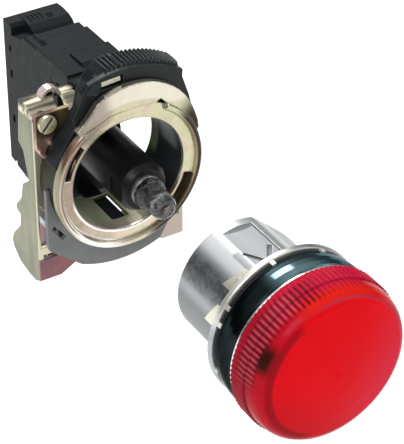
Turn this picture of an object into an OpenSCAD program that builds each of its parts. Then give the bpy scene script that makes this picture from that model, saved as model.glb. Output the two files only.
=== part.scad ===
// Panel pilot light: fixing collar with its LED module, and the lens head shown ahead of it.
// Frame: origin on the axis at the collar's front lip, lens toward -Y, module toward +Y, +Z up.

/* [Collar] */
// width of the fixing collar across its two side flanges
collar_w = 30; // [28:0.5:34]
// diameter of the rolled front lip that bears on the back of the panel
lip_d = 29.4; // [28:0.1:29.8]
// clear hole through the collar for the head's barrel
hole_d = 22.5; // [22.3:0.1:23]
// depth of the drawn tube that guides the barrel
tube_depth = 12.6; // [9:0.1:14]
// distance from the front lip to the front plate of the bracket
bracket_y = 7.5; // [6.5:0.1:9]
// height of the bracket above the axis
bracket_top = 14.2; // [13:0.1:16]
// foot of the bracket below the axis
bracket_foot = 23; // [21:0.5:26]
// sheet thickness of the bracket
sheet = 0.8; // [0.6:0.1:1.2]

/* [Lock lever] */
// outer radius of the ridged grip
grip_r = 21.5; // [20:0.1:23]
// number of fine ridges along the grip
ridge_count = 14; // [8:1:20]
// height of one ridge
ridge_h = 0.55; // [0.2:0.05:0.8]

/* [Module] */
// width of the lamp module
module_w = 10.2; // [9.8:0.1:11]
// top of the module above the axis
module_top = 15; // [14:0.1:17]
// bottom of the module below the axis
module_bottom = 16.6; // [14:0.1:18]
// rear face of the module behind the front lip
module_rear = 37.7; // [34:0.1:42]
// diameter of the lamp carrier that reaches into the barrel
carrier_d = 9.4; // [8:0.1:11]

/* [Head] */
// diameter of the die-cast barrel
barrel_d = 21.8; // [21:0.1:22.2]
// length of the barrel behind its flange
barrel_len = 14.2; // [12:0.1:24]
// distance of the flange's rear face ahead of the collar lip, as shown
head_gap = 47.2; // [40:0.1:60]
// diameter of the flange and bezel
bezel_d = 27.8; // [27:0.1:29.5]
// thickness of the flange
flange_t = 1.3; // [1:0.1:2]
// length of the bezel in front of its gasket
bezel_len = 4.6; // [4:0.1:7]
// largest diameter of the ribbed lens
lens_d = 28.8; // [28:0.1:30]
// length of the lens from its silver ring to the middle of its face
lens_len = 8.5; // [7:0.1:11]
// number of ribs around the lens
rib_count = 96; // [60:4:120]

/* [Output] */
// one node, or all of them

/* [Hidden] */
$fn = 64;
hw = collar_w / 2;
lip_r = lip_d / 2;
hole_r = hole_d / 2;
drum_r = lip_r - 0.5;          // outer radius of the drum behind the lip
drum_in = drum_r - 0.7;
tube_in = hole_r + 0.15;
tube_out = tube_in + 0.8;
plate_y = 4.0;                 // grey plate, front face
plate_t = 1.0;
plate_r = 20.25;
face_y = 0.8;                  // recessed annulus of the ring
face_t = 0.8;
cap_y = 0.3;                   // cap plate over the lever
cap_t = 1.3;
lever_y0 = 1.9;                // lever, front and rear of the grip
lever_y1 = 7.2;
lock_in = hole_r + 0.25;
lock_out = drum_in - 0.3;
lever_in = drum_r + 0.25;
screw_x = -hw + 2.05;
screw_z = 11.7;
mw = module_w / 2;
mod_x1 = mw + 1.0;             // right side of the module body
mod_y0 = 17.2;                 // front face of the module body
arm_z = 13.0;                  // lowest point of the upper arm's hook
carrier_r = carrier_d / 2;
nose_y = -4.3;                 // front end of the lamp carrier
barrel_r = barrel_d / 2;
bore_r = 8.6;
shoulder_l = 1.8;              // full round part that centres in the panel hole
bezel_r = bezel_d / 2;
flange_y = -head_gap;          // rear face of the flange
groove_y = flange_y - flange_t;
groove_l = 0.9;
bezel_y = groove_y - groove_l; // start of the bezel's bright band
trim_y = bezel_y - bezel_len;
trim_t = 0.6;
lens_y = trim_y - trim_t;
lens_r = lens_d / 2;
tip_y = lens_y - lens_len;
thread_r = 11.9;

// a profile in x and z, made solid from y0 to y1
module slab(y0, y1) {
  translate([0, y1, 0]) rotate([90, 0, 0]) linear_extrude(height = y1 - y0) children();
}

// a profile in y and z, made solid from x0 to x1
module side(x0, x1) {
  translate([x0, 0, 0]) rotate([90, 0, 90]) linear_extrude(height = x1 - x0) children();
}

// a profile of radius and y, turned about the axis
module turned() {
  rotate([-90, 0, 0]) rotate_extrude($fn = 96) children();
}

// a straight rod along y
module rod(x, z, y0, y1, r) {
  translate([x, y0, z]) rotate([-90, 0, 0]) cylinder(r = r, h = y1 - y0);
}

// a fan from the axis, between two angles
module fan(a0, a1, r) {
  steps = 12;
  polygon(concat([[0, 0]],
    [for (i = [0:steps]) let (a = a0 + (a1 - a0) * i / steps) [r * cos(a), r * sin(a)]]));
}

// part of a flat ring, between two angles
module arc_band(r0, r1, a0, a1) {
  intersection() {
    difference() {
      circle(r = r1);
      circle(r = r0);
    }
    fan(a0, a1, r1 * 1.3);
  }
}

// ------------------------------------------------ collar

// drawn steel ring: recessed face, rolled lip, outer drum and the lower guide tube
module collar_ring() {
  color([0.72, 0.72, 0.52]) {
    difference() {
      union() {
        // face with the barrel hole
        slab(face_y, face_y + face_t) difference() {
          circle(r = drum_r);
          circle(r = hole_r);
        }
        // cap plate that covers the lever at the top
        slab(cap_y, cap_y + cap_t)
          polygon([[-9.4, 10.9], [-10.2, 12.1], [-8.9, 13.2], [-7.6, 14.6], [-6.3, 16.4],
            [-4.8, 17.2], [-3.2, 17.75], [-1.6, 18.1], [0, 18.3], [1.6, 18.3], [3.2, 18.1],
            [4.8, 17.7], [6.2, 17.15], [7.6, 16.4], [8.9, 15.5], [10.1, 14.4], [11.1, 13.2],
            [12, 11.8], [12.7, 10.4], [13.3, 8.8], [13.8, 7.2], [14, 5.6], [13.3, 4.4],
            [12.2, 7], [10.3, 9.6], [8, 12], [6.3, 13.9], [5.2, 13.3], [2.6, 13.6],
            [0, 13.6], [-2.2, 13.5], [-4.1, 13.2], [-6.8, 12], [-8.2, 11.6]]);
        // guide tube, lower part only
        slab(face_y + face_t, tube_depth) arc_band(tube_in, tube_out, 176, 286);
        // outer drum
        slab(face_y + face_t, bracket_y) arc_band(drum_in, drum_r, 152, 360);
        // rolled lip
        difference() {
          turned() polygon([[lip_r - 1.5, face_y + face_t], [lip_r - 1.4, 0.5],
            [lip_r - 1.15, 0.1], [lip_r - 1.0, 0], [lip_r - 0.4, 0], [lip_r - 0.15, 0.15],
            [lip_r, 0.5], [lip_r, face_y + face_t]]);
          slab(-1, 3) fan(58, 128, 30);
        }
      }
      // the two curved slots in the face
      slab(-1, 3) arc_band(hole_r + 0.55, drum_r - 0.75, 137, 168);
      slab(-1, 3) arc_band(hole_r + 0.55, drum_r - 0.75, -48, -17);
      // window in the guide tube over the module's lower arm
      translate([-1.75, 4.3, -14]) cube([3.5, 8, 4]);
      // stamped step beside the top of the hole
      slab(cap_y - 1, cap_y + 0.35) translate([-0.9, 11.4]) square([1.1, 1.5]);
    }
  }
}

// grey plate behind the ring, with a rounded lower end
module collar_plate() {
  color([0.47, 0.48, 0.47]) {
    difference() {
      slab(plate_y, plate_y + plate_t) intersection() {
        circle(r = plate_r);
        polygon([[-hw + 0.2, -0.5], [-hw + 0.2, -12.2], [-hw + 0.5, -13.4], [-13.2, -14.5],
          [-11.6, -15.8], [-9.9, -17.2], [-8.4, -18.4], [-6, -21], [6, -21], [8.2, -18.4],
          [9.8, -15.6], [12.4, -12], [13.6, -8], [13.6, -0.5]]);
      }
      slab(plate_y - 1, plate_y + plate_t + 1) circle(r = drum_r + 0.02);
      // tangential slot beside the drum
      slab(plate_y - 1, plate_y + plate_t + 1)
        translate([-hw + 2.3, -10]) rotate(-53) square([3.7, 0.9], center = true);
    }
    // pressed bosses that stand on the bracket
    for (s = [-1, 1]) {
      rod(s * 7.4, -16.8, plate_y + plate_t, bracket_y, 0.9);
      rod(s * 3.4, -18.4, plate_y + plate_t, bracket_y, 0.9);
    }
  }
}

// zinc-plated steel bracket, folded back at both sides
module bracket() {
  color([0.66, 0.68, 0.5]) {
    difference() {
      slab(bracket_y, bracket_y + sheet) polygon([[-hw, 12.2], [-hw, -22], [-10.7, -22],
        [-7.6, -20.2], [7.6, -20.2], [10.7, -22], [hw, -22], [hw, 12.2]]);
      // barrel passage, wider where the lock ring turns
      slab(bracket_y - 1, bracket_y + sheet + 1) circle(r = tube_out + 0.02);
      slab(bracket_y - 1, bracket_y + sheet + 1) arc_band(2, lock_out + 0.3, -84, 172);
      // side windows below the strips
      for (s = [-1, 1])
        slab(bracket_y - 1, bracket_y + sheet + 1) polygon([[s * 14.6, -5.6], [s * 12, -9.6],
          [s * 11.2, -11.5], [s * 10.8, -14.6], [s * 14.6, -14.9]]);
      // slots above the feet
      for (s = [-1, 1])
        slab(bracket_y - 1, bracket_y + sheet + 1)
          translate([s * 13 - 1.9, -17.5]) square([3.8, 1.0]);
      // notch for the lower arm of the module
      translate([-1.9, bracket_y - 1, -13.2]) cube([3.8, 3, 3]);
      // screw hole
      rod(screw_x, screw_z, bracket_y - 1, bracket_y + sheet + 1, 1.32);
    }
    // side flanges with the stepped hooks at the rear
    for (s = [-1, 1]) difference() {
      side(s * hw - (s > 0 ? sheet : 0), s * hw + (s > 0 ? 0 : sheet))
        polygon([[bracket_y, 12.2], [9.9, bracket_top], [12.6, bracket_top], [13.6, 5.1],
          [11.8, 4], [10.2, -1.6], [12.7, -3.6], [13.6, -7.2], [15.9, -9.9], [15.6, -10.9],
          [14.3, -11.2], [14.6, -13.8], [17.7, -17.4], [18.3, -19.1], [18, -20.4],
          [15.4, -22.4], [11.9, -bracket_foot],
          [9.5, -bracket_foot], [bracket_y, -22]]);
      // flange coined thin beside the window
      translate([s * (hw - 0.9) - 0.5, bracket_y - 1, -14.9]) cube([1, 5, 9.3]);
    }
    // sloping shoulder and top wall, open in the middle for the module
    difference() {
      side(-hw + sheet, hw - sheet) polygon([[bracket_y, 12.2], [9.9, bracket_top],
        [12.6, bracket_top], [12.6, bracket_top - sheet], [10.3, bracket_top - sheet],
        [8.5, 11.6], [8.5, 11.2], [bracket_y, 11.2]]);
      translate([-mw - 0.3, 5, 10]) cube([module_w + 0.6, 5.9, 8]);
      translate([-9.7, 5, 11.25]) cube([1.8, 6.2, 8]);
      slab(bracket_y - 1, bracket_y + sheet + 5) arc_band(2, lock_out + 0.3, -84, 172);
      translate([-10.9, 10.5, 10]) cube([2.0, 1.3, 8]);
      translate([8.9, 10.5, 10]) cube([2.0, 1.3, 8]);
      rod(screw_x, screw_z, bracket_y - 1, bracket_y + 6, 1.32);
    }
    // feet
    side(-hw + sheet, -10.9) polygon([[bracket_y + sheet, -22], [16.5, -22],
      [16.5, -21], [bracket_y + sheet, -21]]);
    side(10.9, hw - sheet) polygon([[bracket_y + sheet, -22], [16.5, -22],
      [16.5, -21], [bracket_y + sheet, -21]]);
  }
}

// sprung steel tongue that carries the screw
module clamp_tongue() {
  color([0.36, 0.27, 0.18]) {
    difference() {
      union() {
        slab(6.6, bracket_y) union() {
          translate([-hw + 0.05, 7.2]) square([6.5, 6.4]);
          translate([-hw + 2.3, 7.2]) circle(r = 2.25);
        }
        slab(5.6, 6.6) arc_rim();
      }
      slab(5, bracket_y + 1) circle(r = drum_r + 0.2);
      rod(screw_x, screw_z, 5, bracket_y + 1, 1.32);
    }
  }
}

// raised rim of the tongue's pocket
module arc_rim() {
  difference() {
    translate([-hw + 2.3, 7.2]) circle(r = 2.25);
    translate([-hw + 2.3, 7.2]) circle(r = 1.75);
    translate([-15.5, 7.2]) square([7, 4]);
  }
}

// slotted screw of the collar
module clamp_screw() {
  color([0.85, 0.83, 0.55]) {
    difference() {
      rod(screw_x, screw_z, 5.7, 6.6, 1.7);
      translate([screw_x, 5.95, screw_z]) rotate([0, 40, 0])
        cube([0.6, 0.6, 5], center = true);
    }
    rod(screw_x, screw_z, 6.6, 11, 1.22);
  }
}

// bent bridge of spring steel on the top wall
module spring_tab() {
  color([0.83, 0.66, 0.62])
    slab(10.1, 11.9) polygon([[-11.9, 14.2], [-11.4, 15.3], [-10.6, 15.85], [-9.7, 15.95],
      [-8.8, 15.6], [-8.2, 15], [-7.9, 14.2], [-8.5, 14.2], [-8.9, 14.9], [-9.7, 15.35],
      [-10.4, 15.3], [-10.9, 14.9], [-11.3, 14.2]]);
}

// ------------------------------------------------ lock lever

// outline of the grip, with the ridges cut as teeth along its top
function polar(r, a) = [r * cos(a), r * sin(a)];
function teeth(a0, a1, n) = [for (i = [0:n - 1]) for (k = [0:1])
  polar(grip_r - k * ridge_h, a0 + (a1 - a0) * (i + k * 0.5 + 0.1) / n)];

module lock_lever() {
  color([0.13, 0.14, 0.15]) {
    difference() {
      union() {
        // grip and flanks
        slab(lever_y0 + 1.2, lever_y1) difference() {
          polygon(concat([[13.8, 8.2], [12.9, 11.9], [11.6, 15.8]], teeth(58, 90, ridge_count),
            teeth(91, 100, 4), [[-4.4, 19.9], [-5.6, 18.3], [-6.6, 16.2], [-7.2, 14],
            [-7.5, 12.6], [-6.6, 11]]));
          circle(r = lever_in);
        }
        // smooth front face of the grip
        slab(lever_y0, lever_y0 + 1.2) difference() {
          polygon(concat([[13.8, 8.2], [12.9, 11.9], [11.6, 15.8]],
            [for (a = [56:4:106]) polar(grip_r - ridge_h - 0.1, a)],
            [[-6.9, 19.6], [-8.2, 18.1], [-8.9, 16.1], [-10.2, 13.8], [-8.9, 10]]));
          circle(r = lever_in);
        }
        // arm that runs down the left side of the ring
        slab(lever_y0, 5.4) difference() {
          polygon([[-6.4, 12.2], [-7.2, 16.2], [-8.1, 14.6], [-9.6, 12.5], [-11, 10.2],
            [-12.5, 8], [-14, 5.1], [-12.6, 4.2], [-11, 7.4], [-8.5, 9.9]]);
          circle(r = lever_in);
        }
        // ribs that join the grip to the ring inside the collar
        slab(lever_y0 + 0.4, lever_y1) arc_band(lock_out - 0.4, lever_in + 0.6, 38, 119);
        // lock ring
        slab(lever_y0, bracket_y + 1.3) arc_band(lock_in, lock_out, 40, 150);
        slab(lever_y0, tube_depth) arc_band(lock_in, lock_out, -40, 50);
      }
      // window with the catch
      translate([-4.5, lever_y0 - 1, grip_r - 3.5]) cube([4.3, 3.6, 1.9]);
    }
    // raised block at the left end of the grip
    slab(lever_y0 - 0.5, lever_y0) polygon([[-7.6, 18.2], [-5.4, 17.6],
      [-5.1, 19.4], [-5.9, 19.6]]);
  }
}

// steel catch that shows in the lever's window
module lever_catch() {
  color([0.88, 0.86, 0.72])
    translate([-4.3, lever_y0 + 0.2, grip_r - 3]) rotate([0, -4, 0]) cube([3.7, 2.4, 0.9]);
}

// ------------------------------------------------ lamp module

module module_housing() {
  color([0.2, 0.21, 0.22]) {
    difference() {
      union() {
        side(-mw, mod_x1) polygon([[mod_y0, -13.8], [mod_y0 + 1.5, -module_bottom],
          [31, -module_bottom], [34.4, -module_bottom + 0.6],
          [module_rear, -module_bottom + 1.4], [module_rear, module_top - 4],
          [34.6, module_top - 2], [31, module_top - 1.2], [29.6, module_top],
          [mod_y0, module_top]]);
        // upper arm that hooks over the collar
        side(-mw, mw) polygon([[9.5, arm_z], [10.8, arm_z + 0.3], [10.8, bracket_top],
          [mod_y0, bracket_top], [mod_y0, module_top], [10.4, module_top],
          [9.5, module_top - 0.7]]);
        // broader front part, in two steps
        side(-mw - 0.1, mod_x1 + 0.7) polygon([[12.8, 12.1], [19.7, 12.1],
          [19.7, module_top + 0.5], [12.8, module_top + 0.5]]);
        side(-mw - 0.05, mod_x1 + 0.35) polygon([[19.7, 3], [26.8, 3],
          [26.8, module_top + 0.25], [19.7, module_top + 0.25]]);
        // lower arm under the guide tube
        side(-1.65, 1.65) polygon([[4.5, -13.2], [mod_y0, -13.2], [mod_y0, -12.4],
          [4.5, -12.4]]);
      }
      // curved valley between the side wall and the top
      translate([-mw + 0.9, 24.6, module_top + 1.2]) rotate([-90, 0, 0])
        cylinder(r = 1.7, h = 9);
      // pocket ahead of the rounded cover
      translate([-2.4, 29.3, module_top - 2.8]) cube([9, 2.0, 4]);
      // small moulding slots in both sides
      for (x = [-mw, mod_x1]) {
        translate([x - 0.6, 34.9, 3.6]) cube([1.2, 0.9, 1.6]);
        translate([x - 0.6, 34.9, -6.2]) cube([1.2, 0.9, 1.6]);
        translate([x - 0.6, 35.0, 9.2]) cube([1.2, 0.8, 1.2]);
        translate([x - 0.6, 18.4, 9.4]) cube([1.2, 0.7, 1.8]);
      }
      // notch in the lower rear edge
      translate([-mw - 1, 35.2, -module_bottom - 0.6]) cube([2.2, 1.0, 2.2]);
      // screw wells and wire entries in the rear face
      for (z = [6.4, -8.6]) {
        rod(0, z, 30.5, module_rear + 1, 2.75);
        rod(0, z, 25.4, 30.6, 1.55);
      }
      translate([-2.1, 31.0, 1.1]) cube([4.2, 8, 3.0]);
      translate([-2.1, 31.0, -6.3]) cube([4.2, 8, 3.0]);
    }
  }
}

// rounded cover over the rear top of the module
module terminal_cover() {
  color([0.24, 0.25, 0.26]) {
    difference() {
      union() {
        side(-2.2, mod_x1) polygon([[module_rear, module_top - 4], [module_rear, module_top],
          [35.4, module_top + 0.2], [33, module_top], [31.6, module_top - 0.6],
          [31, module_top - 1.2], [34.6, module_top - 2]]);
        side(-mw, -2.2) polygon([[module_rear, module_top - 4], [module_rear, module_top],
          [35.2, module_top], [34.6, module_top - 0.7], [34.6, module_top - 2]]);
      }
      // grip grooves and the small square beside them
      for (i = [0:3])
        translate([-1.4 + i * 0.8, 33.4, module_top - 0.05]) cube([0.35, 2.6, 1]);
      translate([2.1, 33.6, module_top - 0.05]) cube([1.2, 1.2, 1]);
    }
    translate([2.4, 33.9, module_top - 0.05]) cube([0.6, 0.6, 0.2]);
  }
}

// snap latch on the top of the front part
module cover_latch() {
  color([0.17, 0.18, 0.19])
    side(-1.4, 1.4) polygon([[13.6, module_top + 0.5], [18.9, module_top + 0.5],
      [18.9, module_top + 0.9], [14.6, module_top + 1.1]]);
}

// cross-slotted terminal screw
module terminal_screw(z) {
  color([0.78, 0.78, 0.74]) {
    difference() {
      rod(0, z, 33.1, 35.4, 2.6);
      translate([0, 35.2, z]) cube([4.2, 0.9, 0.7], center = true);
      translate([0, 35.2, z]) cube([0.7, 0.9, 4.2], center = true);
    }
    rod(0, z, 25.6, 33.1, 1.45);
  }
}

module terminal_screw_upper() {
  terminal_screw(6.4);
}

module terminal_screw_lower() {
  terminal_screw(-8.6);
}

// plates under the screw heads that grip the wire
module terminal_clamps() {
  color([0.72, 0.72, 0.68])
    for (z = [6.4, -8.6])
      difference() {
        rod(0, z, 31.5, 33.1, 2.6);
        rod(0, z, 31, 34, 1.55);
      }
}

// contact blades that run down to the clamps
module contact_blades() {
  color([0.8, 0.68, 0.4])
    for (z = [6.4, -8.6])
      difference() {
        rod(0, z, 30.5, 31.5, 2.6);
        rod(0, z, 30, 33, 1.55);
      }
}

// tube that carries the lamp into the barrel
module lamp_carrier() {
  color([0.1, 0.1, 0.11]) {
    difference() {
      turned() polygon([[0, nose_y + 1.2], [3.0, nose_y + 1.2], [3.0, nose_y - 0.6],
        [3.9, nose_y - 0.6], [carrier_r, nose_y + 0.6], [carrier_r, mod_y0],
        [0, mod_y0]]);
      // flats on both sides of the nose
      for (s = [-1, 1])
        translate([s * (carrier_r + 1.6), nose_y + 1.5, 0])
          cube([4, 6, 12], center = true);
    }
  }
}

// square foot that joins the carrier to the module
module carrier_collar() {
  color([0.12, 0.12, 0.13])
    difference() {
      slab(14, mod_y0) intersection() {
        circle(r = 5.9);
        square([11.8, 10.4], center = true);
      }
      rod(0, 0, 12, mod_y0 + 1, carrier_r + 0.01);
    }
}

// metal seat of the lamp
module lamp_socket() {
  color([0.7, 0.7, 0.68])
    turned() polygon([[0, nose_y + 1.2], [2.95, nose_y + 1.2], [2.95, nose_y - 1.2],
      [2.5, nose_y - 1.2], [2.5, nose_y + 0.5], [0, nose_y + 0.5]]);
}

// clear lamp with a flanged foot and a domed tip
module led_lamp() {
  color([0.8, 0.85, 0.88, 0.45])
    difference() {
      turned() polygon([[0, nose_y + 0.48], [2.45, nose_y + 0.48], [2.45, nose_y - 1.3],
        [2.95, nose_y - 1.3], [2.95, nose_y - 2.5], [2.45, nose_y - 2.6],
        [2.4, nose_y - 6.2], [2.25, nose_y - 7.1], [1.8, nose_y - 7.8], [1.1, nose_y - 8.2],
        [0, nose_y - 8.3]]);
      turned() polygon([[0, nose_y - 1.5], [1.6, nose_y - 1.5], [1.6, nose_y - 5.4],
        [0, nose_y - 5.4]]);
    }
}

// lead frame and cup inside the lamp
module led_frame() {
  color([0.78, 0.5, 0.36]) {
    translate([-1.1, nose_y - 5.2, -0.25]) cube([0.8, 3.7, 0.5]);
    translate([0.3, nose_y - 4.6, -0.25]) cube([0.8, 3.1, 0.5]);
    translate([-0.3, nose_y - 2.1, -0.25]) cube([0.6, 0.6, 0.5]);
  }
}

// ------------------------------------------------ head

// die-cast barrel and flange, with the locating flat, lugs and arrow recess
module head_barrel() {
  color([0.75, 0.76, 0.77]) {
    difference() {
      union() {
        turned() polygon([[bore_r, flange_y + barrel_len], [barrel_r - 0.6, flange_y + barrel_len],
          [barrel_r - 0.12, flange_y + barrel_len - 0.48],
          [barrel_r - 0.12, flange_y + shoulder_l + 0.6],
          [barrel_r - 0.45, flange_y + shoulder_l + 0.45],
          [barrel_r - 0.45, flange_y + shoulder_l + 0.15],
          [barrel_r, flange_y + shoulder_l], [barrel_r, flange_y],
          [bezel_r - 0.3, flange_y], [bezel_r, flange_y - 0.3],
          [bezel_r, groove_y + 0.2], [bezel_r - 0.2, groove_y], [bore_r, groove_y]]);
      }
      // flat along the upper right
      rotate([0, -48, 0]) translate([9.75, flange_y + shoulder_l, -12])
        cube([4, barrel_len, 24]);
      // recess with the arrow
      translate([-3.4, flange_y + 2.6, 10.2]) cube([5.4, 9.6, 3]);
      for (s = [-1, 1])
        translate([-0.9, flange_y + 2.2, 9.7]) rotate([0, 0, s * 32])
          translate([-0.35, 0, 0]) cube([0.7, 4.6, 3]);
      // bayonet slots at the rear end
      for (a = [90, 210, 330])
        rotate([0, a, 0]) translate([bore_r - 1, flange_y + barrel_len - 4, -1.2])
          cube([1.6, 5, 2.4]);
    }
    // locating lugs in front of the flange
    slab(flange_y, flange_y + 2.6) arc_band(barrel_r - 0.2, barrel_r + 0.2, 125, 138);
    slab(flange_y, flange_y + 2.6) arc_band(barrel_r - 0.2, barrel_r + 0.2, 154, 174);
    slab(flange_y, flange_y + 2.6) arc_band(barrel_r - 0.2, barrel_r + 0.2, 200, 209);
  }
}

// rubber seal in the groove between flange and bezel
module seal_gasket() {
  color([0.05, 0.05, 0.055])
    turned() polygon([[bore_r + 0.6, groove_y], [bezel_r - 0.75, groove_y],
      [bezel_r - 0.6, groove_y - groove_l / 2], [bezel_r - 0.75, bezel_y],
      [bore_r + 0.6, bezel_y]]);
}

// small bright claws that hold the seal
module gasket_claws() {
  color([0.85, 0.85, 0.8])
    for (a = [-164, -112, -60, -12, 25, 63, 103, 145, 158])
      slab(bezel_y, groove_y) arc_band(bezel_r - 0.55, bezel_r - 0.15, a - 1.6, a + 1.6);
}

// dark plated bezel with a swelling side
module bezel() {
  color([0.09, 0.12, 0.13])
    turned() polygon([[bore_r + 0.6, bezel_y], [bezel_r - 0.5, bezel_y],
      [bezel_r - 0.15, bezel_y - 0.7], [bezel_r + 0.05, bezel_y - 1.8],
      [bezel_r + 0.1, bezel_y - 3.0], [bezel_r, bezel_y - 4.2],
      [bezel_r - 0.25, trim_y + 0.3], [bezel_r - 0.5, trim_y], [thread_r + 0.1, trim_y],
      [thread_r + 0.1, bezel_y - 1.0], [bore_r + 0.6, bezel_y - 1.0]]);
}

// thin bright ring between bezel and lens
module trim_ring() {
  color([0.86, 0.86, 0.86])
    turned() polygon([[thread_r + 0.1, lens_y], [bezel_r - 0.1, lens_y],
      [bezel_r + 0.05, lens_y + 0.15], [bezel_r + 0.05, trim_y - 0.15],
      [bezel_r - 0.1, trim_y], [thread_r + 0.1, trim_y]]);
}

// white cup that spreads the light behind the lens
module reflector() {
  color([0.9, 0.9, 0.88])
    turned() polygon([[4.6, bezel_y - 1.0], [10.5, bezel_y - 1.0], [10.5, lens_y - 2.2],
      [9.9, lens_y - 2.2], [9.4, lens_y + 1.5], [5.6, bezel_y - 2.0],
      [4.6, bezel_y - 2.0]]);
}

// red lens: screwed skirt, ribbed band, rounded shoulder and slightly domed face
module lens() {
  color([0.86, 0.05, 0.09, 0.85]) {
    turned() polygon([[10.9, lens_y + 4], [thread_r, lens_y + 4], [thread_r, lens_y],
      [lens_r - 0.45, lens_y], [lens_r - 0.3, lens_y - 0.2], [lens_r - 0.3, lens_y - 4.0],
      [lens_r - 0.42, lens_y - 5.3], [lens_r - 0.7, lens_y - 6.3],
      [lens_r - 1.25, lens_y - 7.1], [lens_r - 2.0, lens_y - 7.55], [9, lens_y - 8.0],
      [5, lens_y - 8.35], [0, tip_y], [0, tip_y + 1.6], [5, tip_y + 1.75],
      [9, tip_y + 2.1], [11.4, tip_y + 2.8], [12.2, tip_y + 3.6], [12.4, tip_y + 4.6],
      [12.4, lens_y - 1.0], [10.9, lens_y - 1.0]]);
    // ribs around the skirt of the lens
    slab(lens_y - 3.7, lens_y - 0.2) difference() {
      polygon([for (i = [0:rib_count - 1]) for (k = [0:1])
        let (a = 360 * (i + k * 0.5) / rib_count, r = lens_r - 0.22 * k)
        [r * cos(a), r * sin(a)]]);
      circle(r = lens_r - 0.5);
    }
  }
}

collar_ring();
collar_plate();
bracket();
clamp_tongue();
clamp_screw();
spring_tab();
lock_lever();
lever_catch();
module_housing();
terminal_cover();
cover_latch();
terminal_screw_upper();
terminal_screw_lower();
terminal_clamps();
contact_blades();
lamp_carrier();
carrier_collar();
lamp_socket();
led_lamp();
led_frame();
head_barrel();
seal_gasket();
gasket_claws();
bezel();
trim_ring();
reflector();
lens();
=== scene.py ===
# %% [markdown]
# # A panel pilot light, dressed for the studio
# The solids come from the CAD frame: a metal fixing collar with its lamp module, and the head
# with its red lens shown ahead of it. This lesson gives every piece its finish, adds the two
# inner legs of the bracket, and sets up the floor, the light and the camera. Lengths are written
# in mm, and MM turns them into Blender's metres. The y axis runs through the middle of collar
# and head, with the lens at its low end.

# %% Load the frame
import bpy
import math
from mathutils import Matrix, Vector


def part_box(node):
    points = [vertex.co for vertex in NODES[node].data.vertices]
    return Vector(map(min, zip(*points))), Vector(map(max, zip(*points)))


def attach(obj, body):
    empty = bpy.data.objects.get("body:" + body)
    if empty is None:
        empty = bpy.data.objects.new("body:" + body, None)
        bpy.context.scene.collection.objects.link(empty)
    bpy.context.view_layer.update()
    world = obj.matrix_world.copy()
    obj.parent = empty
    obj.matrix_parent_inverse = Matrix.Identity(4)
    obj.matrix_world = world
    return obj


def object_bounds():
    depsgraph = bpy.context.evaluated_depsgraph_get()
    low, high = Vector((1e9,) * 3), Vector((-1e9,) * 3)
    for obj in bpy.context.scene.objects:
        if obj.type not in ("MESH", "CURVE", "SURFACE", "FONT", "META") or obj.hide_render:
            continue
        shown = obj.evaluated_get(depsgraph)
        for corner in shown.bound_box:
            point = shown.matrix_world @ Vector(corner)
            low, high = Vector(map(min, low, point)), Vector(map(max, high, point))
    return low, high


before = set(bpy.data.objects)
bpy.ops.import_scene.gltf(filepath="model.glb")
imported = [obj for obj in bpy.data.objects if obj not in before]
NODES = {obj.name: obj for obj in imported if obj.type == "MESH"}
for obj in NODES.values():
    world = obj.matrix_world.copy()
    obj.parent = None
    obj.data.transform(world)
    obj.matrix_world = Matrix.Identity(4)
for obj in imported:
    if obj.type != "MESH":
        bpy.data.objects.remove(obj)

MM = 0.001
CAD_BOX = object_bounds()
for thing in bpy.context.selected_objects:
    thing.select_set(False)


def in_mm(box):
    """A box in mm, rounded for printing."""
    return [[round(value / MM, 1) for value in corner] for corner in box]


print("nodes:", len(NODES), "box in mm:", in_mm(CAD_BOX))

# %% [markdown]
# ## Small helpers for node trees
# A finish is a tree of shader nodes. These helpers keep the cells short: one adds a node and
# fills in its values, and the others do a sum, a colour mix or a ramp. Wherever a value is
# asked for, a socket of another node may stand in its place and is then wired up.

# %% Add a node, wire it, do a sum
def fill(tree, node, values):
    """Values for a node by name: a socket is wired, anything else is set."""
    for key, value in values.items():
        socket = node.inputs.get(key.replace("_", " "))
        if socket is None:
            setattr(node, key, value)
        elif isinstance(value, bpy.types.NodeSocket):
            tree.links.new(value, socket)
        else:
            socket.default_value = value
    return node


def add(tree, kind, **values):
    """A new shader node of that kind, with its values."""
    return fill(tree, tree.nodes.new("ShaderNode" + kind), values)


def join(tree, start, end):
    """A wire from an output socket to an input socket."""
    tree.links.new(start, end)


def sums(tree, operation, first, second=None, third=None, clamp=False):
    """A Math node on sockets or numbers; gives back its output."""
    made = add(tree, "Math", operation=operation, use_clamp=clamp)
    for index, value in enumerate((first, second, third)):
        if isinstance(value, (int, float)):
            made.inputs[index].default_value = value
        elif value is not None:
            join(tree, value, made.inputs[index])
    return made.outputs[0]


def vectors(tree, operation, first, second):
    """A Vector Math node on two sockets; gives back its outputs."""
    made = add(tree, "VectorMath", operation=operation)
    join(tree, first, made.inputs[0])
    join(tree, second, made.inputs[1])
    return made.outputs


# %% [markdown]
# A colour mix has several sockets of one name and a ramp has its stops inside, so two more
# helpers fill them in and give back the colour that comes out.

# %% Mix colours
def mix_colour(tree, mask, low, high):
    """From the low colour to the high one; all three are sockets or plain values."""
    made = add(tree, "Mix", data_type="RGBA")
    sockets = {socket.identifier: socket for socket in made.inputs}
    for name, value in (("Factor_Float", mask), ("A_Color", low), ("B_Color", high)):
        if isinstance(value, (int, float)):
            sockets[name].default_value = value
        elif isinstance(value, tuple):
            sockets[name].default_value = (*value, 1.0)
        else:
            join(tree, value, sockets[name])
    return next(s for s in made.outputs if s.identifier == "Result_Color")


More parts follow.
